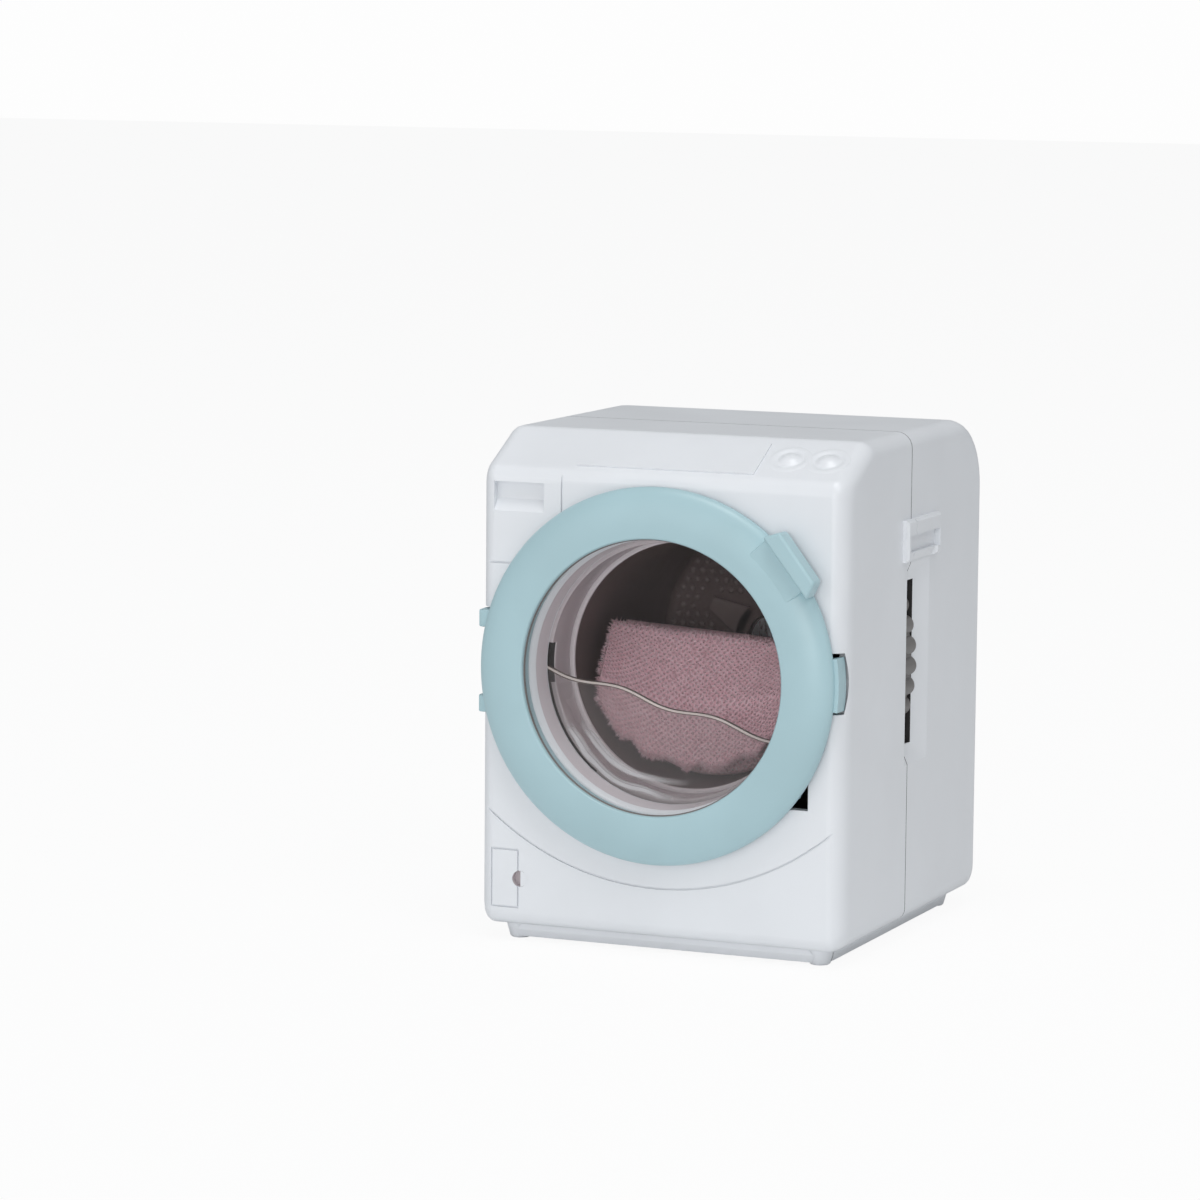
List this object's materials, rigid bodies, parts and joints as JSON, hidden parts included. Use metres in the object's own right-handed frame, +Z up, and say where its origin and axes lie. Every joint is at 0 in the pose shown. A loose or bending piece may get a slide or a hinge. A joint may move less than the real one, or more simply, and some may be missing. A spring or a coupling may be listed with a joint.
{
  "type": "toy washing machine",
  "caption": "Toy front-loading washing machine with a hinged porthole door, a drum turned by a thumb wheel in the side, a rocking clear water plate and a folded towel inside.",
  "frame": {"origin": "centre of the whole part's box, on the plane that the feet stand on", "axes": "+X to the right seen from the front, +Y to the back, +Z up"},
  "size_m": [0.0516, 0.056, 0.066],
  "materials": {
    "casing": "smooth moulded, satin gloss",
    "ring": "smooth moulded, satin gloss",
    "clear": "clear polished plastic",
    "collar": "smooth moulded",
    "soft_rubber": "matte",
    "drum": "moulded, semi-gloss",
    "wheel": "moulded, satin",
    "steel": "plated",
    "towel": "looped terry weave"
  },
  "bodies": {
    "casing": {"front_shell": "casing", "rear_shell": "casing", "base_plate": "casing", "feet": "casing", "tub_collar": "collar", "axle_screw": "steel", "axle_washer": "steel", "case_screws": "steel", "collar_screws": "steel", "base_screws": "steel", "towel": "towel"},
    "door": {"door_ring": "ring", "door_window": "clear", "window_retainer": "ring", "hinge_pins": "steel"},
    "water": {"water_plate": "clear"},
    "drum": {"drum": "drum", "thumb_wheel": "wheel", "drag_ring": "soft_rubber"}
  },
  "joints": [
    {"name": "door_swing", "type": "hinge", "parent": "casing", "child": "door", "pos_m": [-0.0232, -0.0226, 0.0365], "axis": [0, 0, -1], "range_deg": [0, 100]},
    {"name": "drum_spin", "type": "hinge", "parent": "casing", "child": "drum", "pos_m": [0, 0.001, 0.036], "axis": [0, 1, 0], "continuous": true},
    {"name": "water_rock", "type": "hinge", "parent": "casing", "child": "water", "pos_m": [0, -0.0195, 0.036], "axis": [0, 1, 0], "range_deg": [-36, 9.9]}
  ]
}
